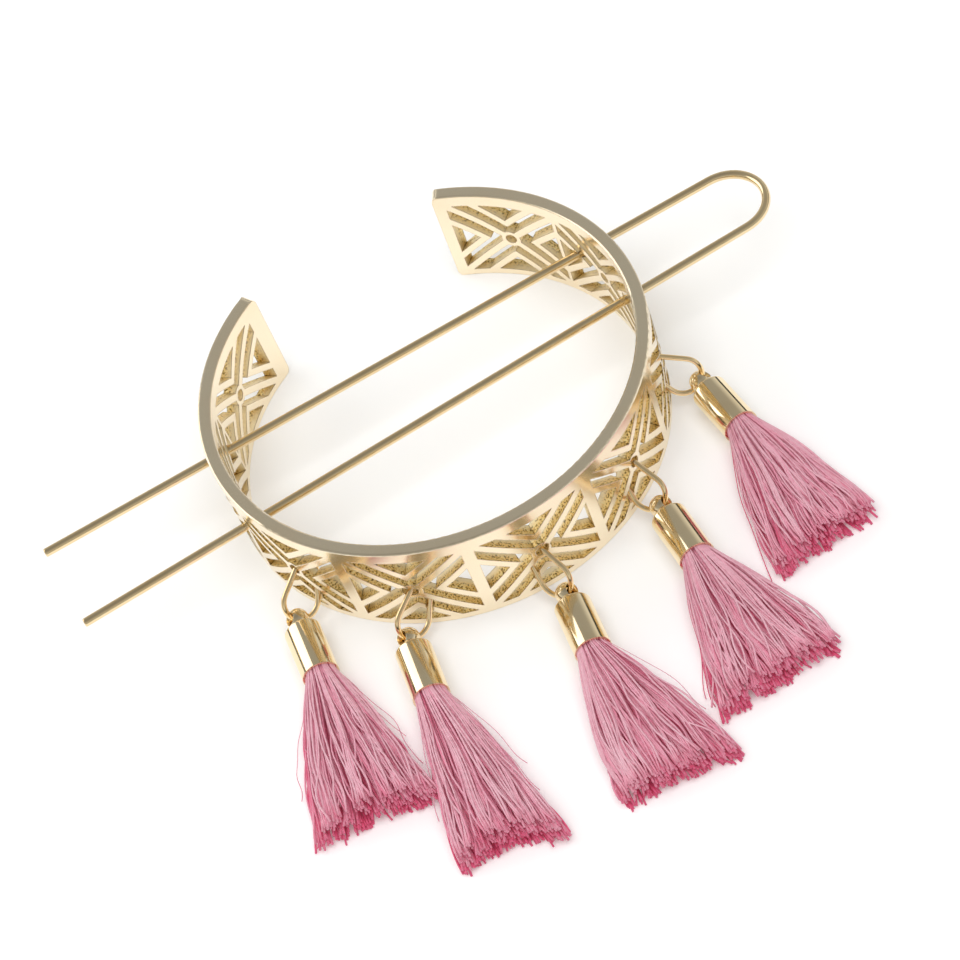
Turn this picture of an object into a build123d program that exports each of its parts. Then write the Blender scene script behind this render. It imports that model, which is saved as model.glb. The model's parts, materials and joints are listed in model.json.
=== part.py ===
"""Bun cuff hair pin: a pierced C-shaped band, a two-prong fork and five thread tassels on jump rings.

Part frame: the cuff stands on its lower rim.  The origin is on the cuff's axis, in the plane that the
lower rim rests on.  +Z is up, the fork lies along X with its bend at +X, and the cuff's gap faces +Y.
"""
from build123d import *
import os
from math import asin, atan2, cos, hypot, radians, sin, sqrt

# ---- cuff -------------------------------------------------------------------------------------------
CUFF_HEIGHT = 15.6
TOP_RADIUS = 30.0            # outer radius at the top rim
BOTTOM_RADIUS = 29.6         # the band tapers slightly towards the lower rim
WALL = 1.8
RIM_ROUND = 0.22             # rounding along the rims' edges
GAP_RIGHT_ANGLE = 29.3       # from +Y to the end at +X, in degrees
GAP_LEFT_ANGLE = 27.6        # from +Y to the end at -X, which is a little longer
END_CORNER_ROUND = 1.1
TOP_RIM_HEIGHT = 1.9
BOTTOM_RIM_HEIGHT = 1.1

# ---- lattice panels -----------------------------------------------------------------------------------
PANEL_COUNT = 9
PANEL_PITCH = 32.9           # degrees from one panel centre to the next
DIVIDER_WIDTH = 1.6
ARM_WIDTH = 1.0              # the diagonal arms of each X
SLOT_WIDTH = 1.35            # V-shaped slot beside the arms
CHEVRON_WIDTH = 0.95         # V-shaped bar between the slot and the triangular opening
BOSS_RADIUS = 1.4
BOSS_HOLE_RADIUS = 0.78

# ---- fork ---------------------------------------------------------------------------------------------
FORK_WIRE_RADIUS = 0.6
FORK_HEIGHT = 8.2            # height of the prongs above the lower rim
FORK_OFFSET_Y = 3.9          # centreline between the prongs
FORK_TIP_X = -53.6
FORK_BEND_X = 46.6           # centre of the bend
FORK_BEND_RADIUS = 5.2
FORK_TIP_HALF_SPACING = 6.9  # the prongs spring apart slightly towards their tips
FORK_TIP_ROUND = 0.22
FORK_CLEARANCE = 0.18
FORK_PUSH_IN = 15.0          # how far the fork can be pushed further in from rest
CUT_DEPTH = 3.0              # cuts reach this far to each side of the band's middle
GUIDE_DEPTH = 5.0

# ---- jump rings ---------------------------------------------------------------------------------------
RING_WIRE_RADIUS = 0.36
RING_NECK_RADIUS = 1.5       # centreline radius of the small end, which turns round the boss rim
RING_LOOP_RADIUS = 2.4       # centreline radius of the large end
RING_REACH = 6.2             # from the neck's centre to the wire at the far end
RING_CUT = 0.12              # gap where the wire's ends meet, beside the neck
RING_CLEARANCE = 0.12
RING_RELIEF_ANGLES = range(-4, 47, 10)   # swing of the ring, in degrees, that the band leaves room for
NECK_BELOW_HOLE = 1.42       # neck centre to boss hole centre
EYE_HEIGHT = 2.52            # eye centre above the floor while the tassels lie down

# ---- tassels ------------------------------------------------------------------------------------------
BEAD_RADIUS = 1.5            # ball at the cap's closed end, that the jump ring passes through
BEAD_HOLE_RADIUS = 0.58      # at its narrowest; the hole flares to suit the curve of the wire
BEAD_HOLE_FLARE = 0.60       # how much wider the hole is at the ball's surface
COLLAR_RADIUS = 1.12
COLLAR_START = 1.25          # ball centre to the collar
CAP_START = 1.9              # ball centre to the cap's closed end
CAP_LENGTH = 7.8
CAP_RADIUS = 2.43
CAP_WALL = 0.35
CAP_CROWN_ROUND = 0.35
HEAD_RADIUS = 2.05           # bound head of the threads, inside the cap
HEAD_TOP_GAP = 0.5
HEAD_ROUND = 0.5
SKIRT_LENGTH = 22.0
SKIRT_START_RADIUS = 2.02
SKIRT_HALF_THICKNESS = 2.4
SKIRT_MIDDLE = 0.45          # shares of the length, spread and drift at the skirt's middle section
SKIRT_MIDDLE_SPREAD = 0.62
SKIRT_MIDDLE_DRIFT = 0.4

# Each tassel as it lies: panel index from the middle one, heading of the ring and of the tassel
# (degrees, anticlockwise from +X), lean of the ring's plane, sideways drift and spread of the skirt.
TASSELS = [
    dict(panel=-2, ring=-141, tassel=-97, lean=28, drift=-1.0, spread=7.6),
    dict(panel=-1, ring=-147, tassel=-99, lean=24, drift=2.7, spread=6.2),
    dict(panel=0, ring=-80, tassel=-98, lean=-30, drift=3.4, spread=7.4),
    dict(panel=1, ring=-76, tassel=-91, lean=-30, drift=0.0, spread=8.2),
    dict(panel=2, ring=-34, tassel=-87, lean=-26, drift=-1.6, spread=7.2),
]


def outer_radius(z):
    """Outer radius of the tapered band at a height."""
    return BOTTOM_RADIUS + (TOP_RADIUS - BOTTOM_RADIUS) * z / CUFF_HEIGHT


FIELD_HALF_HEIGHT = (CUFF_HEIGHT - TOP_RIM_HEIGHT - BOTTOM_RIM_HEIGHT) / 2
FIELD_CENTRE = BOTTOM_RIM_HEIGHT + FIELD_HALF_HEIGHT
FIELD_RADIUS = outer_radius(FIELD_CENTRE)
FIELD_HALF_WIDTH = FIELD_RADIUS * sin(radians(PANEL_PITCH / 2)) - DIVIDER_WIDTH / 2


def panel_angle(index):
    """Direction of a panel's centre, in degrees; panel 0 is opposite the gap."""
    return -90 + index * PANEL_PITCH


def radial_plane(angle, radius, z):
    """Plane tangent to the band: x along the band, y up, z outwards."""
    out = Vector(cos(radians(angle)), sin(radians(angle)), 0)
    along = Vector(-out.Y, out.X, 0)
    return Plane(origin=out * radius + Vector(0, 0, z), x_dir=along, z_dir=out)


def chevron(half_depth, half_span, normal, outer_gap, inner_gap):
    """Band between two V lines that run beside the diagonals of a triangle.

    The triangle has its point at the panel's centre and its base half_depth away, 2 * half_span long.
    The V lines stand outer_gap and inner_gap off the diagonals; inner_gap of None closes the triangle.
    """
    slope = half_span / half_depth
    tip_a = outer_gap / sin(normal)
    end_a = (half_depth - tip_a) * slope
    points = [(tip_a, 0), (half_depth, end_a)]
    if inner_gap is not None:
        tip_b = inner_gap / sin(normal)
        end_b = (half_depth - tip_b) * slope
        points += [(half_depth, end_b), (tip_b, 0), (half_depth, -end_b)]
    return points + [(half_depth, -end_a)]


def panel_openings():
    """Openings of one lattice panel: an X of arms, V slots, V bars and triangular openings."""
    diagonal = atan2(FIELD_HALF_HEIGHT, FIELD_HALF_WIDTH)
    slot_start = ARM_WIDTH / 2
    slot_end = slot_start + SLOT_WIDTH
    hole_start = slot_end + CHEVRON_WIDTH
    slots = []
    holes = []
    for half_depth, half_span, normal, turn in (
        (FIELD_HALF_WIDTH, FIELD_HALF_HEIGHT, diagonal, 0),
        (FIELD_HALF_HEIGHT, FIELD_HALF_WIDTH, radians(90) - diagonal, 90),
    ):
        for flip in (0, 180):
            slot = chevron(half_depth, half_span, normal, slot_start, slot_end)
            hole = chevron(half_depth, half_span, normal, hole_start, None)
            slots.append(Rot(0, 0, turn + flip) * make_face(Polyline(*slot, close=True)))
            holes.append(Rot(0, 0, turn + flip) * make_face(Polyline(*hole, close=True)))
    openings = [slot - Circle(BOSS_RADIUS) for slot in slots]
    return openings + holes + [Circle(BOSS_HOLE_RADIUS)]


def prong_half_spacing(x):
    """Half the distance between the prongs at a place along the fork."""
    slope = (FORK_TIP_HALF_SPACING - FORK_BEND_RADIUS) / (FORK_BEND_X - FORK_TIP_X)
    return FORK_BEND_RADIUS + slope * (FORK_BEND_X - x)


def fork_guides():
    """Openings that the prongs slide through, wide enough for their spread over the whole travel."""
    margin = FORK_WIRE_RADIUS + FORK_CLEARANCE
    height = 2 * margin
    far = prong_half_spacing(FORK_TIP_X) + margin
    guides = []
    for side in (-1, 1):
        near = prong_half_spacing(side * FIELD_RADIUS + FORK_PUSH_IN) - margin
        for across in (-1, 1):
            middle = FORK_OFFSET_Y + across * (near + far) / 2
            centre = (side * FIELD_RADIUS, middle, FORK_HEIGHT)
            profile = Plane(origin=centre, x_dir=(0, 1, 0), z_dir=(1, 0, 0)) * SlotOverall(far - near, height)
            guides.append(extrude(profile, amount=GUIDE_DEPTH, both=True))
    return guides


def make_cuff():
    """The cast band: tapered ring with a gap, pierced panels, boss holes and fork guides."""
    profile = make_face(
        Polyline(
            (BOTTOM_RADIUS - WALL, 0),
            (BOTTOM_RADIUS, 0),
            (TOP_RADIUS, CUFF_HEIGHT),
            (TOP_RADIUS - WALL, CUFF_HEIGHT),
            close=True,
        )
    )
    profile = fillet(profile.vertices(), RIM_ROUND)
    sweep_angle = 360 - GAP_LEFT_ANGLE - GAP_RIGHT_ANGLE
    band = revolve(Plane.XZ * profile, axis=Axis.Z, revolution_arc=sweep_angle)
    band = Rot(0, 0, 90 + GAP_LEFT_ANGLE) * band
    for side, end_angle in ((-1, 90 - GAP_RIGHT_ANGLE), (1, 90 + GAP_LEFT_ANGLE)):
        end_plane = radial_plane(end_angle, TOP_RADIUS, 0)
        blank = end_corner_trim(side)
        band -= extrude(end_plane * blank, amount=CUT_DEPTH, both=True)
    openings = panel_openings()
    first = -(PANEL_COUNT // 2)
    for index in range(first, first + PANEL_COUNT):
        plane = radial_plane(panel_angle(index), FIELD_RADIUS, FIELD_CENTRE)
        for opening in openings:
            band -= extrude(plane * opening, amount=CUT_DEPTH, both=True)
    for tassel in TASSELS:
        for worn in ring_relief(tassel):
            band -= worn
    for guide in fork_guides():
        band -= guide
    return band


def end_corner_trim(side):
    """Material outside the two rounded corners of one end, in that end's tangent plane."""
    r = END_CORNER_ROUND
    inward = side
    trims = []
    for base, up in ((0, 1), (CUFF_HEIGHT, -1)):
        square = make_face(Polyline((-inward, base - up), (inward * r, base - up), (inward * r, base),
                                    (inward * r, base + up * r), (-inward, base + up * r), close=True))
        trims.append(square - Pos(inward * r, base + up * r) * Circle(r))
    return trims[0] + trims[1]


def make_fork():
    """Round wire bent into a U, with its two prongs springing slightly apart."""
    tips = [(FORK_TIP_X, side * FORK_TIP_HALF_SPACING) for side in (1, -1)]
    reach = hypot(FORK_BEND_X - FORK_TIP_X, FORK_TIP_HALF_SPACING)
    lean = asin(FORK_BEND_RADIUS / reach) - atan2(FORK_TIP_HALF_SPACING, FORK_BEND_X - FORK_TIP_X)
    touch_x = FORK_BEND_X - FORK_BEND_RADIUS * sin(lean)
    touch_y = FORK_BEND_RADIUS * cos(lean)
    crown = (FORK_BEND_X + FORK_BEND_RADIUS, 0)
    path = Wire([
        Edge.make_line(tips[0], (touch_x, touch_y)),
        Edge.make_three_point_arc((touch_x, touch_y), crown, (touch_x, -touch_y)),
        Edge.make_line((touch_x, -touch_y), tips[1]),
    ])
    start = Plane(origin=path @ 0, z_dir=path % 0)
    wire = sweep(start * Circle(FORK_WIRE_RADIUS), path=path)
    tip_edges = wire.edges().filter_by(GeomType.CIRCLE).group_by(Axis.X)[0]
    wire = fillet(tip_edges, FORK_TIP_ROUND)
    return Pos(0, FORK_OFFSET_Y, FORK_HEIGHT) * wire


def heading(angle):
    """Horizontal unit vector in a direction given in degrees."""
    return Vector(cos(radians(angle)), sin(radians(angle)), 0)


def ring_frame(tassel):
    """Neck centre, far end and sideways direction of one jump ring."""
    angle = panel_angle(tassel["panel"])
    out = heading(angle)
    along = Vector(-out.Y, out.X, 0)
    lean = radians(tassel["lean"])
    down = along * sin(lean) - Vector(0, 0, 1) * cos(lean)
    middle = FIELD_RADIUS - WALL / 2
    neck = out * middle + Vector(0, 0, FIELD_CENTRE) + down * NECK_BELOW_HOLE
    drop = neck.Z - EYE_HEIGHT
    flat = sqrt(RING_REACH**2 - drop**2)
    eye = neck + heading(tassel["ring"]) * flat - Vector(0, 0, drop)
    axis = (eye - neck).normalized()
    sideways = (down - axis * down.dot(axis)).normalized()
    return neck, eye, axis, sideways


def ring_path():
    """Centreline of a pear-shaped jump ring in its own plane: x towards the eye, y sideways."""
    centres = RING_REACH - RING_LOOP_RADIUS
    taper = asin((RING_LOOP_RADIUS - RING_NECK_RADIUS) / centres)
    side = Vector(-sin(taper), cos(taper))
    mirrored = Vector(side.X, -side.Y)
    loop_a = Vector(centres, 0) + side * RING_LOOP_RADIUS
    loop_b = Vector(centres, 0) + mirrored * RING_LOOP_RADIUS
    neck_a = side * RING_NECK_RADIUS
    neck_b = mirrored * RING_NECK_RADIUS
    cut_end = neck_b + (loop_b - neck_b).normalized() * RING_CUT
    return Wire([
        Edge.make_line(cut_end, loop_b),
        Edge.make_three_point_arc(loop_b, (RING_REACH, 0), loop_a),
        Edge.make_line(loop_a, neck_a),
        Edge.make_three_point_arc(neck_a, (-RING_NECK_RADIUS, 0), neck_b),
    ])


def make_ring(tassel, wire_radius=RING_WIRE_RADIUS):
    """Pear-shaped jump ring of round wire, cut on one side of its small end."""
    neck, _, axis, sideways = ring_frame(tassel)
    path = ring_path()
    start = Plane(origin=path @ 0, z_dir=path % 0)
    wire = sweep(start * Circle(wire_radius), path=path)
    return Plane(origin=neck, x_dir=axis, z_dir=axis.cross(sideways)) * wire


def ring_relief(tassel):
    """Room that the casting leaves round one jump ring while it swings from rest up to its limit."""
    neck = ring_frame(tassel)[0]
    out = heading(panel_angle(tassel["panel"]))
    hinge = Axis(origin=neck, direction=Vector(out.Y, -out.X, 0))
    room = make_ring(tassel, RING_WIRE_RADIUS + RING_CLEARANCE)
    return [room.rotate(hinge, lift) for lift in RING_RELIEF_ANGLES]


def tassel_plane(tassel):
    """Frame of one tassel: origin at the eye, x across, y along the tassel, z up."""
    eye = ring_frame(tassel)[1]
    forward = heading(tassel["tassel"])
    across = Vector(forward.Y, -forward.X, 0)
    return Plane(origin=eye, x_dir=across, z_dir=across.cross(forward))


def turned(points, fillets=()):
    """Solid of revolution about the tassel's long axis (+Y) from (radius, distance) points."""
    face = make_face(Polyline(*points, close=True))
    for (x, y), radius in fillets:
        corner = face.vertices().sort_by_distance((x, y, 0))[0]
        face = fillet(corner, radius)
    return revolve(face, axis=Axis.Y)


def make_bead():
    """Ball with a flared hole through it along Z."""
    mouth = BEAD_HOLE_RADIUS + BEAD_HOLE_FLARE
    outline = Wire([
        Edge.make_three_point_arc((mouth, -BEAD_RADIUS), (BEAD_HOLE_RADIUS, 0), (mouth, BEAD_RADIUS)),
        Edge.make_line((mouth, BEAD_RADIUS), (0, BEAD_RADIUS)),
        Edge.make_line((0, BEAD_RADIUS), (0, -BEAD_RADIUS)),
        Edge.make_line((0, -BEAD_RADIUS), (mouth, -BEAD_RADIUS)),
    ])
    hole = revolve(Plane.XZ * make_face(outline), axis=Axis.Z)
    return Sphere(BEAD_RADIUS) - hole


def make_cap(tassel):
    """Drawn metal cap, open at the thread end, with a collar and a drilled ball on its closed end."""
    end = CAP_START + CAP_LENGTH
    inner = CAP_RADIUS - CAP_WALL
    shell = turned(
        [(0, CAP_START), (CAP_RADIUS, CAP_START), (CAP_RADIUS, end), (inner, end),
         (inner, CAP_START + CAP_WALL), (0, CAP_START + CAP_WALL)],
        [((CAP_RADIUS, CAP_START), CAP_CROWN_ROUND)],
    )
    root = CAP_START + CAP_WALL / 2
    collar = turned([(0, COLLAR_START), (COLLAR_RADIUS, COLLAR_START), (COLLAR_RADIUS, root), (0, root)])
    _, eye, _, wire = ring_frame(tassel)
    bead = Plane(origin=eye, z_dir=wire) * make_bead()
    return tassel_plane(tassel) * (shell + collar) + bead


def make_head(tassel):
    """Bound head of the threads, pressed into the cap."""
    start = CAP_START + CAP_WALL + HEAD_TOP_GAP
    end = CAP_START + CAP_LENGTH
    head = turned([(0, start), (HEAD_RADIUS, start), (HEAD_RADIUS, end), (0, end)],
                  [((HEAD_RADIUS, start), HEAD_ROUND)])
    return tassel_plane(tassel) * head


def make_skirt(tassel):
    """Closed form of the free threads, fanned out flat where they lie on the table."""
    start = CAP_START + CAP_LENGTH
    mouth = Plane(origin=(0, start, 0), x_dir=(1, 0, 0), z_dir=(0, 1, 0)) * Circle(SKIRT_START_RADIUS)
    middle = Plane(origin=(-SKIRT_MIDDLE_DRIFT * tassel["drift"], start + SKIRT_MIDDLE * SKIRT_LENGTH, 0),
                   x_dir=(1, 0, 0), z_dir=(0, 1, 0))
    far = Plane(origin=(-tassel["drift"], start + SKIRT_LENGTH, 0), x_dir=(1, 0, 0), z_dir=(0, 1, 0))
    sections = [mouth, middle * Ellipse(SKIRT_MIDDLE_SPREAD * tassel["spread"], SKIRT_HALF_THICKNESS),
                far * Ellipse(tassel["spread"], SKIRT_HALF_THICKNESS)]
    return tassel_plane(tassel) * loft(sections)


def save(shape, name):
    """Write one node."""
    export_step(shape, f"parts/{name}.step")


def main():
    os.makedirs("parts", exist_ok=True)
    save(make_cuff(), "cuff")
    save(make_fork(), "fork")
    for number, tassel in enumerate(TASSELS, start=1):
        save(make_ring(tassel), f"jump_ring_{number}")
        save(make_cap(tassel), f"tassel_cap_{number}")
        save(make_head(tassel), f"tassel_head_{number}")
        save(make_skirt(tassel), f"tassel_skirt_{number}")


main()
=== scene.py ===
"""Decorative hair pin: gold bun cuff, two-prong fork and five pink thread tassels, on a pale table.

Everything is in metres, in the row frame. Sizes given in millimetres are multiplied by MM.
"""
import bpy
import json
import math
import numpy as np
from mathutils import Matrix, Vector


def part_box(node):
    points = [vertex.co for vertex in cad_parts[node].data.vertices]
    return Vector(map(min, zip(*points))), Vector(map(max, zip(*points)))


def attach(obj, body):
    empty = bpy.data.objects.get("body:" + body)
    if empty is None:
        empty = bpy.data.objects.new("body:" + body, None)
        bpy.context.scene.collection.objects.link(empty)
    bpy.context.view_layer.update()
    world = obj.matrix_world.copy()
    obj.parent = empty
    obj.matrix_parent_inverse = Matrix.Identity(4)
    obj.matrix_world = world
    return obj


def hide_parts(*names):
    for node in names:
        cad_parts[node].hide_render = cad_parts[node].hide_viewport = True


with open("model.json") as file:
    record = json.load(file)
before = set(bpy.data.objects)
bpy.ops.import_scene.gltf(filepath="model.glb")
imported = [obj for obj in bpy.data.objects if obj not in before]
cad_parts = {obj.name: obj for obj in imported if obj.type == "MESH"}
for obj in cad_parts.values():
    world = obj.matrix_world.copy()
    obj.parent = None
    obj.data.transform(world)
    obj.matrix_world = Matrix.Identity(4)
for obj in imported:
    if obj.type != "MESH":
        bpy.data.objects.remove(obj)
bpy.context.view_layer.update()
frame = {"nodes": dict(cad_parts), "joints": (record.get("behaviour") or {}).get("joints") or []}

MM = 0.001
TASSELS = range(1, 6)

# ---- camera -----------------------------------------------------------------------------------------
CAMERA_PLACE = Vector((-44.99, -291.25, 340.15)) * MM
CAMERA_AZIMUTH = 9.0          # degrees from +Y towards +X
CAMERA_DIP = 49.94            # degrees below the horizon
CAMERA_ROLL = -23.35
CAMERA_LENS = 128.37          # mm, on a 36 mm wide sensor

# ---- threads ------------------------------------------------------------------------------------------
THREAD_RADIUS = 0.14 * MM
THREADS_PER_TASSEL = 430
THREAD_POINTS = 28
THREAD_SIDES = 6
TUCKED_LENGTH = 2.5 * MM      # part of each thread that is inside the cap
CLUMPS = 44                   # threads lie together in small bundles
LONERS = 0.22                 # share of the threads that leave their bundle
CLUMP_WIDTH = 0.42 * MM
CLUMP_SCATTER = 0.03          # uneven spacing of the bundles, as a share of the skirt's half width
LEVEL_SCATTER = 0.08          # the same for a thread in its bundle, as a share of the skirt's height
MOUTH_FILL = 0.94             # share of the cap's mouth that the threads' centrelines fill
MOUTH_FAN = 0.93              # how far the outermost bundles stand to the sides of the mouth
MOUTH_SCATTER = 0.10
MOUTH_LIMIT = 0.98
STRAY_RADIUS = 0.06 * MM

# The skirt of each tassel, with lengths in mm: how much longer it is than its CAD form, the height of its cut
# end, and the number of fine strays.  Pairs are for the side towards the next tassel and the other side: how
# far the corner reaches past the middle, how convex the side is, and how much wider it is than the CAD form.
SKIRTS = {
    1: dict(seed=11, longer=0.6, height=4.4, corner=(1.4, 0.2), bow=(0.2, 0.9), wider=(0.8, 0.0), strays=6),
    2: dict(seed=29, longer=1.8, height=4.2, corner=(2.6, 1.0), bow=(0.3, 0.3), wider=(0.0, 0.6), strays=5),
    3: dict(seed=31, longer=-0.4, height=3.8, corner=(0.2, 0.2), bow=(0.6, 0.7), wider=(0.0, 0.0), strays=4),
    4: dict(seed=47, longer=-0.6, height=3.8, corner=(0.0, 0.6), bow=(0.7, 0.6), wider=(0.0, 0.0), strays=4),
    5: dict(seed=53, longer=-0.4, height=3.8, corner=(0.0, 0.2), bow=(0.5, 0.6), wider=(0.0, 0.0), strays=5),
}
CORNER_INSET = 0.3 * MM       # the outermost threads' centrelines, in from the side of the CAD form
TOP_SHORTER = 1.1 * MM        # how much shorter the top threads are than the lowest ones
SHORTENING_POWER = 1.5
SIDE_THINNING = 0.8           # how much of its height the cut end loses towards its corners
THINNING_POWER = 2.4
LEAST_THICKNESS = 0.08
FALL_RATE = 1.3               # a thread is down at its last height before its end, at 1/1.3 of its length
END_BAND = 0.01               # share of a skirt's length that counts as its far end
END_SCATTER = 0.3 * MM        # uneven cut
SHARED_WAVES = ((0.8, 0.42), (1.7, 0.20))   # waves along a thread and their size in mm, alike in a bundle
OWN_WAVES = ((1.3, 0.20), (3.1, 0.07))      # the same for each thread by itself
LONER_WAVES = 2.2             # how much larger they are on a thread that left its bundle
UPWARD_WAVES = 0.5            # size of a thread's waves up and down, as a share of those sideways
STRAY_FAN = (0.7, 1.15)       # strays lie along the skirt's two sides and a little past them
STRAY_LENGTH = (0.6, 1.04)    # of the skirt's length
ROOT_THINNING = 0.72          # threads are pressed together where they enter the cap
RADIUS_SPREAD = 0.15
TONE_SPREAD = 0.12
PLY_TURNS = 22.0              # turns of the two plies along a thread

# ---- studio -------------------------------------------------------------------------------------------
FLOOR_REACH = 3.0             # metres
FLOOR_DROP = 0.01 * MM        # leaves the floor just clear of the pieces that stand on it
# Brightness of the surround by the height that a ray looks towards, from level (0) to straight up (1).
SURROUND = [
    (0.0, 0.9), (0.01, 0.02), (0.15, 0.03), (0.23, 0.75),
    (0.40, 0.60), (0.62, 0.36), (0.86, 0.33), (1.0, 0.25),
]


# ---- shader helpers -----------------------------------------------------------------------------------
def fill(tree, node, values):
    """Sets a node's properties and inputs; an output given as a value is linked to the input."""
    for key, value in values.items():
        if isinstance(key, str) and hasattr(node, key):
            setattr(node, key, value)
            continue
        socket = node.inputs[key.replace("_", " ") if isinstance(key, str) else key]
        if isinstance(value, bpy.types.NodeSocket):
            tree.links.new(value, socket)
        else:
            socket.default_value = value


def node_maker(tree):
    """A maker of shader nodes: inputs by number, then properties and inputs by name. It returns an output."""
    def make(kind, *inputs, output=None, **values):
        node = tree.nodes.new("ShaderNode" + kind)
        fill(tree, node, values)
        fill(tree, node, dict(enumerate(inputs)))
        if output:
            return node.outputs[output]
        return next(socket for socket in node.outputs if socket.enabled)

    return make


def new_material(name):
    """An empty material, with its maker of nodes and a function that sets its Principled shader."""
    material = bpy.data.materials.new(name)
    material.use_nodes = True
    tree = material.node_tree

    def finish(**values):
        fill(tree, tree.nodes["Principled BSDF"], values)

    return material, node_maker(tree), finish


def ramp(make, stops, factor):
    """A colour ramp from (position, colour) stops."""
    colour = make("ValToRGB", Fac=factor)
    elements = colour.node.color_ramp.elements
    while len(elements) < len(stops):
        elements.new(0.5)
    for element, (position, tint) in zip(elements, stops):
        element.position = position
        element.color = opaque(tint)
    return colour


def opaque(colour):
    return (*colour, 1.0)


def grey(value):
    return (value, value, value)


def mix(make, factor, first, second, **settings):
    """Two colours mixed."""
    return make("Mix", data_type="RGBA", **settings, Factor=factor, A=first, B=second)


def between(make, factor, low, high):
    """A number that goes from low to high as the factor goes from 0 to 1."""
    return make("MapRange", Value=factor, To_Min=low, To_Max=high)


# ---- materials ------------------------------------------------------------------------------------------
def gold_material(name, base, deep, roughness, edge, ripple, grain_scale):
    """Gold plate over brass: colour that drifts a little, buffing marks, and edges rounded by polishing."""
    material, make, finish = new_material(name)
    place = make("TexCoord", output="Object")
    drift = make("TexNoise", Vector=place, Scale=240.0, Detail=3.0)
    grain = make("TexNoise", Vector=place, Scale=grain_scale, Detail=4.0)
    amount = ramp(make, [(0.42, grey(0.0)), (0.75, grey(0.55))], drift)
    rounded = make("Bevel", samples=4, Radius=edge)
    finish(
        Base_Color=mix(make, amount, opaque(base), opaque(deep)),
        Roughness=between(make, grain, roughness * 0.7, roughness * 1.4),
        Normal=make("Bump", Strength=0.5, Distance=ripple, Height=drift, Normal=rounded),
        Metallic=1.0,
    )
    return material


def slot_walls(make, place, outward, true_normal):
    """1 on the walls of the cuff's slots; 0 on its inner and outer faces, its rims and its two ends."""
    facing = make("VectorMath", true_normal, outward, operation="DOT_PRODUCT")
    round_face = make("Math", facing, operation="ABSOLUTE")
    height = make("SeparateXYZ", place, output="Z")
    between_rims = make("Math", height, CUFF_MIDDLE, CUFF_MIDDLE - 0.5 * MM, operation="COMPARE")
    at_rim = make("Math", 1.0, between_rims, operation="SUBTRACT")
    toward_gap = make("SeparateXYZ", outward, output="Y")
    at_end = make("Math", toward_gap, math.cos(math.radians(GAP_HALF_ANGLE)), operation="GREATER_THAN")
    rim_or_end = make("Math", at_rim, at_end, operation="MAXIMUM")
    polished = make("Math", round_face, rim_or_end, operation="MAXIMUM")
    return ramp(make, [(0.70, grey(1.0)), (0.86, grey(0.0))], polished)


def cast_gold_material(name, base, deep, edge):
    """The cuff's gold: polished on its faces, rims and ends, rough from the mould on the slots' walls."""
    material, make, finish = new_material(name)
    place = make("TexCoord", output="Object")
    level = make("VectorMath", place, (1.0, 1.0, 0.0), operation="MULTIPLY")
    outward = make("VectorMath", level, operation="NORMALIZE")
    true_normal = make("NewGeometry", output="True Normal")
    walls = slot_walls(make, place, outward, true_normal)
    rounded = make("Bevel", samples=4, Radius=edge)

    # The mould's grain, paler where the plating is rubbed near the inner face.
    grain = make("TexNoise", Vector=place, Scale=3800.0, Detail=5.0, Roughness=0.65)
    casting = [(0.40, (0.05, 0.02, 0.005)), (0.46, (1.0, 0.70, 0.24)), (0.60, (1.0, 0.88, 0.50))]
    grained = ramp(make, casting, grain)
    radius = make("VectorMath", level, operation="LENGTH")
    depth = make(
        "MapRange", Value=radius,
        From_Min=CUFF_INNER_RADIUS + 0.1 * MM, From_Max=CUFF_INNER_RADIUS + 0.9 * MM,
    )
    cast_tint = mix(make, depth, (1.0, 0.88, 0.62, 1.0), grained)

    # The faces' colour drifts a little, and a dark line runs along the walls' edges: painted shade and
    # painted dark reflection where the edges round over.
    drift = make("TexNoise", Vector=place, Scale=160.0, Detail=3.0)
    amount = ramp(make, [(0.45, grey(0.0)), (0.80, grey(0.45))], drift)
    face_tint = mix(make, amount, opaque(base), opaque(deep))
    tint = mix(make, walls, face_tint, cast_tint)
    bend = make("VectorMath", rounded, true_normal, operation="DOT_PRODUCT")
    painted_edge_shade = ramp(make, [(0.84, grey(0.85)), (0.98, grey(0.0))], bend)
    painted_edge_shade_on_walls = make("Math", painted_edge_shade, walls, operation="MULTIPLY")

    lumps = make("TexNoise", Vector=place, Scale=900.0, Detail=3.0)
    relief = make("Math", grain, walls, lumps, operation="MULTIPLY_ADD")
    finish(
        # The dark brown is painted shade along the slot walls' edges.
        Base_Color=mix(make, painted_edge_shade_on_walls, tint, (0.16, 0.08, 0.02, 1.0)),
        Roughness=between(make, walls, 0.17, 0.45),
        Metallic=between(make, walls, 1.0, 0.85),
        Normal=make(
            "Bump", Strength=between(make, walls, 0.06, 0.9),
            Distance=0.12 * MM, Height=relief, Normal=rounded,
        ),
    )
    return material


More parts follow.
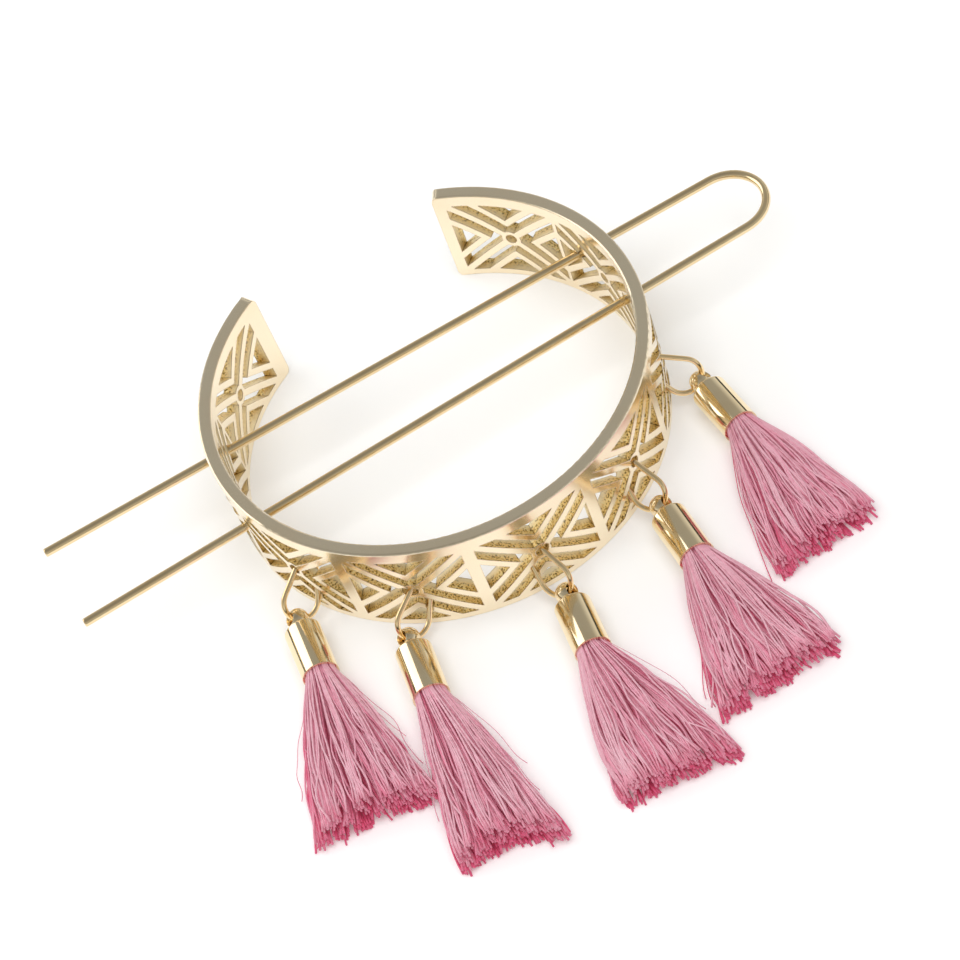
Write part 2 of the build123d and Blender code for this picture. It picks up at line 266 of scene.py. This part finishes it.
def thread_material(name, painted_highlight_rose, rose, painted_shade_crimson):
    """Two-ply rose viscose thread with painted light: a painted highlight makes it silvery on top of the
    skirt, and painted shade makes it crimson below, at the cut ends and a little where it leaves the cap; it
    also glows faintly crimson.
    """
    material, make, finish = new_material(name)
    around_and_along = make("UVMap", uv_map="along")
    around = make("SeparateXYZ", around_and_along, output="X")
    along = make("SeparateXYZ", around_and_along, output="Y")
    painted_shade_and_tone = make("Attribute", attribute_name="painted_shade_and_tone", output="Fac")
    # Painted light by depth in the skirt: a painted highlight makes the top threads silvery, and painted
    # shade makes the lower ones crimson.
    body = ramp(make, [(0.0, painted_highlight_rose), (0.35, rose), (0.8, painted_shade_crimson)], painted_shade_and_tone)
    # Painted shade: more crimson towards the cut ends, and a little where the threads leave the cap.
    to_end = ramp(make, [(0.0, grey(0.12)), (0.2, grey(0.0)), (0.90, grey(0.0)), (0.99, grey(0.30))], along)
    tint = mix(make, to_end, body, opaque(painted_shade_crimson))
    patches = make("TexNoise", Vector=make("TexCoord", output="Object"), Scale=420.0, Detail=2.0)
    turns = make("Math", along, PLY_TURNS, around, operation="MULTIPLY_ADD")
    ply = make("Math", make("Math", turns, math.tau, operation="MULTIPLY"), operation="SINE")
    finish(
        Base_Color=mix(make, 0.35, tint, patches, blend_type="SOFT_LIGHT"),
        Roughness=between(make, painted_shade_and_tone, 0.34, 0.55),
        Normal=make("Bump", Strength=0.5, Distance=0.05 * MM, Height=ply),
        Specular_IOR_Level=0.6,
        Sheen_Weight=0.3,
        Sheen_Roughness=0.35,
        Sheen_Tint=(1.0, 0.88, 0.92, 1.0),
        # A faint crimson glow on every thread: painted light that lifts the shade between the threads.
        Emission_Color=opaque(painted_shade_crimson),
        Emission_Strength=0.06,
    )
    return material


# ---- what the frame says --------------------------------------------------------------------------------
joints = {joint["name"]: joint for joint in frame["joints"]}
cuff_low, cuff_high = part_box("cuff")
CUFF_MIDDLE = (cuff_low.z + cuff_high.z) / 2
CUFF_INNER_RADIUS = (cuff_high.x - cuff_low.x) / 2 - 1.8 * MM
GAP_HALF_ANGLE = 29.8         # degrees from +Y; the cuff's two end faces are within it


def vertices(node):
    """Points of a CAD node at rest, as an array."""
    mesh = frame["nodes"][node].data
    points = np.empty(len(mesh.vertices) * 3)
    mesh.vertices.foreach_get("co", points)
    return points.reshape(-1, 3)


def tassel_frame(number):
    """Mouth centre, across, along and up directions of one tassel, and its measures from the CAD."""
    eye = Vector(joints[f"tassel_swing_{number}"]["pos_m"])
    low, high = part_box(f"tassel_head_{number}")
    along = ((low + high) / 2 - eye).normalized()
    up = Vector((0, 0, 1))
    across = along.cross(up).normalized()
    head = (vertices(f"tassel_head_{number}") - np.array(eye)) @ np.array([across, along, up]).T
    skirt = (vertices(f"tassel_skirt_{number}") - np.array(eye)) @ np.array([across, along, up]).T
    mouth = head[:, 1].max()
    length = skirt[:, 1].max() - mouth
    far = skirt[skirt[:, 1] > skirt[:, 1].max() - END_BAND * length]
    return dict(
        eye=eye,
        mouth=eye + along * mouth,
        axes=np.array([across, along, up]),
        head_radius=float(abs(head[:, 0]).max()),
        length=float(length),
        centre=float((far[:, 0].max() + far[:, 0].min()) / 2),
        half_width=float((far[:, 0].max() - far[:, 0].min()) / 2),
        drop=float(eye.z),
    )


# ---- threads ------------------------------------------------------------------------------------------
def smooth(t):
    return t * t * (3 - 2 * t)


def thread_paths(measure, skirt, rng, count, stray=False):
    """Centrelines of loose threads in the tassel's own axes (x across, y along, z up, mouth at zero).

    Also gives each thread's depth in the skirt, which the material turns into a painted highlight and painted
    shade: 0 on top of the skirt, 1 at its underside.
    """
    t = np.linspace(0, 1, THREAD_POINTS)[None, :]
    clump = rng.integers(0, CLUMPS, count)
    fan_of = np.linspace(-1, 1, CLUMPS) + rng.normal(0, CLUMP_SCATTER, CLUMPS)
    level_of = rng.permutation(np.linspace(0, 1, CLUMPS))
    fan = fan_of[clump][:, None]
    level = level_of[clump][:, None]
    shift = rng.normal(0, 1, (count, 1))
    lift = rng.normal(0, 1, (count, 1))
    loner = rng.random((count, 1)) < LONERS
    fan = np.where(loner, rng.uniform(-1, 1, (count, 1)), fan)
    level = np.where(loner, rng.random((count, 1)), level)
    if stray:
        fan = np.sign(rng.normal(0, 1, (count, 1))) * rng.uniform(*STRAY_FAN, (count, 1))
    level = np.clip(level + LEVEL_SCATTER * lift, 0, 1)

    # Where each thread leaves the cap.
    radius = measure["head_radius"]
    x0 = MOUTH_FILL * radius * np.clip(fan * MOUTH_FAN + MOUTH_SCATTER * shift, -MOUTH_LIMIT, MOUTH_LIMIT)
    room = np.sqrt(np.maximum(radius**2 - x0**2, 0))
    z0 = MOUTH_FILL * room * np.clip(2 * level - 1 + MOUTH_SCATTER * lift, -1, 1)

    # Where it ends.
    corner = np.where(fan < 0, *skirt["corner"]) * fan**2 * MM
    length = measure["length"] + skirt["longer"] * MM + corner - TOP_SHORTER * level**SHORTENING_POWER
    length = length + rng.normal(0, END_SCATTER, (count, 1))
    if stray:
        length = measure["length"] * rng.uniform(*STRAY_LENGTH, (count, 1))
    wider = np.where(fan < 0, *skirt["wider"]) * MM
    x1 = measure["centre"] + fan * (measure["half_width"] + wider - CORNER_INSET) + shift * CLUMP_WIDTH
    thinned = np.clip(1 - SIDE_THINNING * np.abs(fan) ** THINNING_POWER, LEAST_THICKNESS, 1)
    z1 = THREAD_RADIUS - measure["drop"] + level * (skirt["height"] * MM * np.sqrt(thinned))

    # Its line between the two, with waves.
    bow = np.where(fan < 0, -skirt["bow"][0], skirt["bow"][1]) * MM
    y = (length + TUCKED_LENGTH) * t - TUCKED_LENGTH
    share = np.clip(y / length, 0, 1)
    x = x0 + (x1 - x0) * share + bow * np.abs(fan) * np.sin(math.pi * share)
    z = z0 + (z1 - z0) * smooth(np.clip(share * FALL_RATE, 0, 1))
    phases = rng.random((CLUMPS, 4))[clump]
    own = rng.random((count, 4))
    for k, (waves, size) in enumerate(SHARED_WAVES):
        together = np.sin(math.tau * (waves * share + phases[:, k, None]))
        x = x + size * MM * share * (together - np.sin(math.tau * phases[:, k, None]))
    for k, (waves, size) in enumerate(OWN_WAVES):
        reach = size * MM * np.where(loner, LONER_WAVES, 1.0) * rng.normal(0, 1, (count, 1))
        x = x + reach * share * np.sin(math.tau * (waves * share + own[:, k, None]))
        z = z + UPWARD_WAVES * reach * share * np.sin(math.tau * (waves * share + own[:, k + 2, None]))
    z = np.maximum(z, THREAD_RADIUS - measure["drop"])
    return np.stack([x, y, z], axis=2), 1 - level[:, 0]


def tube_mesh(name, paths, radii, sides, shades_and_tones):
    """One mesh of closed tubes along many centrelines, with UVs (round, along) and a value per tube for
    painted shade and tone.
    """
    count, points, _ = paths.shape
    tangent = np.gradient(paths, axis=1)
    tangent /= np.linalg.norm(tangent, axis=2, keepdims=True)

    # Points: a ring of them round each point of a centreline.
    upward = np.array([0.0, 0.0, 1.0])
    sideways = np.cross(tangent, upward)
    sideways /= np.maximum(np.linalg.norm(sideways, axis=2, keepdims=True), 1e-12)
    lifted = np.cross(sideways, tangent)
    turn = np.arange(sides) * math.tau / sides
    ring = (
        sideways[:, :, None, :] * np.cos(turn)[None, None, :, None]
        + lifted[:, :, None, :] * np.sin(turn)[None, None, :, None]
    )
    co = (paths[:, :, None, :] + ring * radii[:, :, None, None]).reshape(-1, 3)

    # Faces: four-sided ones along a tube, and one that closes each end.
    index = np.arange(count * points * sides).reshape(count, points, sides)
    nxt = np.roll(index, -1, axis=2)
    quads = np.stack([index[:, :-1], nxt[:, :-1], nxt[:, 1:], index[:, 1:]], axis=-1).reshape(-1, 4)
    starts = index[:, 0, ::-1].reshape(-1, sides)
    ends = index[:, -1, :].reshape(-1, sides)
    corners = np.concatenate([quads.ravel(), starts.ravel(), ends.ravel()])
    sizes = np.concatenate([np.full(len(quads), 4), np.full(len(starts) + len(ends), sides)])
    offsets = np.concatenate([[0], np.cumsum(sizes)[:-1]])

    mesh = bpy.data.meshes.new(name)
    mesh.vertices.add(len(co))
    mesh.vertices.foreach_set("co", co.ravel())
    mesh.loops.add(len(corners))
    mesh.loops.foreach_set("vertex_index", corners.astype(np.int32))
    mesh.polygons.add(len(sizes))
    mesh.polygons.foreach_set("loop_start", offsets.astype(np.int32))
    mesh.polygons.foreach_set("loop_total", sizes.astype(np.int32))
    mesh.update(calc_edges=True)

    # UVs: the last face round a tube ends at 1, not back at 0.
    round_share = (np.arange(sides) / sides)[None, None, :] * np.ones((count, points, 1))
    along_share = np.linspace(0, 1, points)[None, :, None] * np.ones((count, 1, sides))
    uv = np.stack([round_share.ravel(), along_share.ravel()], axis=1)[corners]
    seam = np.tile([0, 1, 1, 0], len(quads))
    wrapped = np.zeros(len(corners), bool)
    wrapped[: len(seam)] = (seam == 1) & (uv[: len(seam), 0] < 0.5 / sides)
    uv[wrapped, 0] = 1.0
    layer = mesh.uv_layers.new(name="along")
    layer.data.foreach_set("uv", uv.ravel())

    # The per-thread value that the material paints as shade, with random tone.
    painted_shade_and_tone = mesh.attributes.new("painted_shade_and_tone", "FLOAT", "POINT")
    painted_shade_and_tone.data.foreach_set("value", np.repeat(shades_and_tones, points * sides).astype(np.float32))
    mesh.polygons.foreach_set("use_smooth", np.ones(len(sizes), bool))
    mesh.validate()
    return mesh


def make_threads(number, material):
    """The loose threads of one tassel, from inside the cap to their cut ends, with a few fine strays."""
    measure = tassel_frame(number)
    skirt = SKIRTS[number]
    rng = np.random.default_rng(skirt["seed"])
    for label, count, radius in (
        ("threads", THREADS_PER_TASSEL, THREAD_RADIUS),
        ("strays", skirt["strays"], STRAY_RADIUS),
    ):
        paths, depth = thread_paths(measure, skirt, rng, count, stray=label == "strays")
        # Each thread's painted shade comes from its depth, with some random tone added.
        shades_and_tones = np.clip(depth + rng.normal(0, TONE_SPREAD, count), 0, 1)
        widening = np.linspace(ROOT_THINNING, 1.0, THREAD_POINTS)[None, :]
        radii = radius * rng.uniform(1 - RADIUS_SPREAD, 1 + RADIUS_SPREAD, (count, 1)) * widening
        world = paths @ measure["axes"] + np.array(measure["mouth"])
        mesh = tube_mesh(f"tassel_{label}_{number}", world, radii, THREAD_SIDES, shades_and_tones)
        mesh.materials.append(material)
        piece = bpy.data.objects.new(f"tassel_{label}_{number}", mesh)
        bpy.context.scene.collection.objects.link(piece)
        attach(piece, f"tassel_{number}")
    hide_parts(f"tassel_skirt_{number}", f"tassel_head_{number}")


# ---- materials on the pieces ------------------------------------------------------------------------------
cuff_gold = cast_gold_material(
    "cuff_gold_cast", base=(1.0, 0.87, 0.65), deep=(1.0, 0.81, 0.55), edge=0.26 * MM,
)
fork_gold = gold_material(
    "fork_gold_drawn", base=(0.90, 0.72, 0.44), deep=(0.82, 0.60, 0.32),
    roughness=0.10, edge=0.05 * MM, ripple=0.004 * MM, grain_scale=1800.0,
)
ring_gold = gold_material(
    "ring_gold_wire", base=(1.0, 0.78, 0.46), deep=(0.92, 0.64, 0.30),
    roughness=0.10, edge=0.05 * MM, ripple=0.004 * MM, grain_scale=1800.0,
)
cap_gold = gold_material(
    "cap_gold_drawn", base=(0.96, 0.80, 0.53), deep=(0.90, 0.70, 0.42),
    roughness=0.08, edge=0.14 * MM, ripple=0.004 * MM, grain_scale=1200.0,
)
thread_pink = thread_material(
    "thread_pink_viscose", painted_highlight_rose=(0.74, 0.42, 0.49), rose=(0.74, 0.30, 0.40), painted_shade_crimson=(0.72, 0.10, 0.21),
)


def assign(node, material):
    """Gives a CAD node's slots one material."""
    piece = frame["nodes"][node]
    for index in range(len(piece.material_slots)):
        piece.material_slots[index].material = material


assign("cuff", cuff_gold)
assign("fork", fork_gold)
for number in TASSELS:
    assign(f"jump_ring_{number}", ring_gold)
    assign(f"tassel_cap_{number}", cap_gold)
    make_threads(number, thread_pink)


# ---- floor, light and camera ------------------------------------------------------------------------------
def make_floor():
    """A plain pale table top."""
    mesh = bpy.data.meshes.new("floor")
    signs = ((-1, -1), (1, -1), (1, 1), (-1, 1))
    mesh.from_pydata([(x * FLOOR_REACH, y * FLOOR_REACH, 0) for x, y in signs], [], [(0, 1, 2, 3)])
    material, _, finish = new_material("floor_pale")
    finish(
        Base_Color=opaque(grey(0.93)), Roughness=0.9, Specular_IOR_Level=0.1,
        Emission_Color=opaque(grey(1.0)), Emission_Strength=0.11,
    )
    mesh.materials.append(material)
    floor = bpy.data.objects.new("floor", mesh)
    bpy.context.scene.collection.objects.link(floor)
    floor.location.z = -FLOOR_DROP


def make_area(name, azimuth, elevation, distance, width, height, power, glossy=True):
    """A soft box aimed at the object, from a direction given in degrees; glossy ones show as reflections."""
    light = bpy.data.lights.new(name, "AREA")
    light.shape = "RECTANGLE"
    light.size = width
    light.size_y = height
    light.energy = power
    lamp = bpy.data.objects.new(name, light)
    az, el = math.radians(azimuth), math.radians(elevation)
    direction = Vector((math.sin(az) * math.cos(el), math.cos(az) * math.cos(el), math.sin(el)))
    lamp.location = direction * distance
    lamp.rotation_euler = (-direction).to_track_quat("-Z", "Y").to_euler()
    lamp.visible_glossy = glossy
    bpy.context.scene.collection.objects.link(lamp)


def make_world():
    """A soft surround: bright low down, with a darker band at the horizon and a greyer ceiling."""
    world = bpy.data.worlds.new("studio")
    bpy.context.scene.world = world
    world.use_nodes = True
    tree = world.node_tree
    make = node_maker(tree)
    height = make("SeparateXYZ", make("TexCoord", output="Generated"), output="Z")
    stops = [(position, (value, value, value * 0.97)) for position, value in SURROUND]
    fill(tree, tree.nodes["Background"], {"Color": ramp(make, stops, height), "Strength": 1.0})


def make_camera():
    """The camera, at the viewing angle that the object is shown from."""
    az, dip, roll = (math.radians(a) for a in (CAMERA_AZIMUTH, CAMERA_DIP, CAMERA_ROLL))
    ahead = Vector((math.sin(az) * math.cos(dip), math.cos(az) * math.cos(dip), -math.sin(dip)))
    level = Vector((math.cos(az), -math.sin(az), 0))
    above = level.cross(ahead)
    right = level * math.cos(roll) + above * math.sin(roll)
    up = above * math.cos(roll) - level * math.sin(roll)
    data = bpy.data.cameras.new("camera")
    data.lens = CAMERA_LENS
    data.sensor_width = 36.0
    data.clip_start = 0.01
    data.clip_end = 20.0
    camera = bpy.data.objects.new("camera", data)
    turn = Matrix((right, up, -ahead)).transposed().to_4x4()
    camera.matrix_world = Matrix.Translation(CAMERA_PLACE) @ turn
    bpy.context.scene.collection.objects.link(camera)
    bpy.context.scene.camera = camera


make_floor()
make_world()
make_area("side_softbox", azimuth=-44, elevation=32, distance=0.9, width=0.80, height=0.62, power=2.3)
make_area(
    "top_softbox", azimuth=190, elevation=74, distance=1.0, width=1.1, height=1.1, power=8.0, glossy=False,
)
make_camera()
bpy.context.scene.view_settings.view_transform = "Standard"
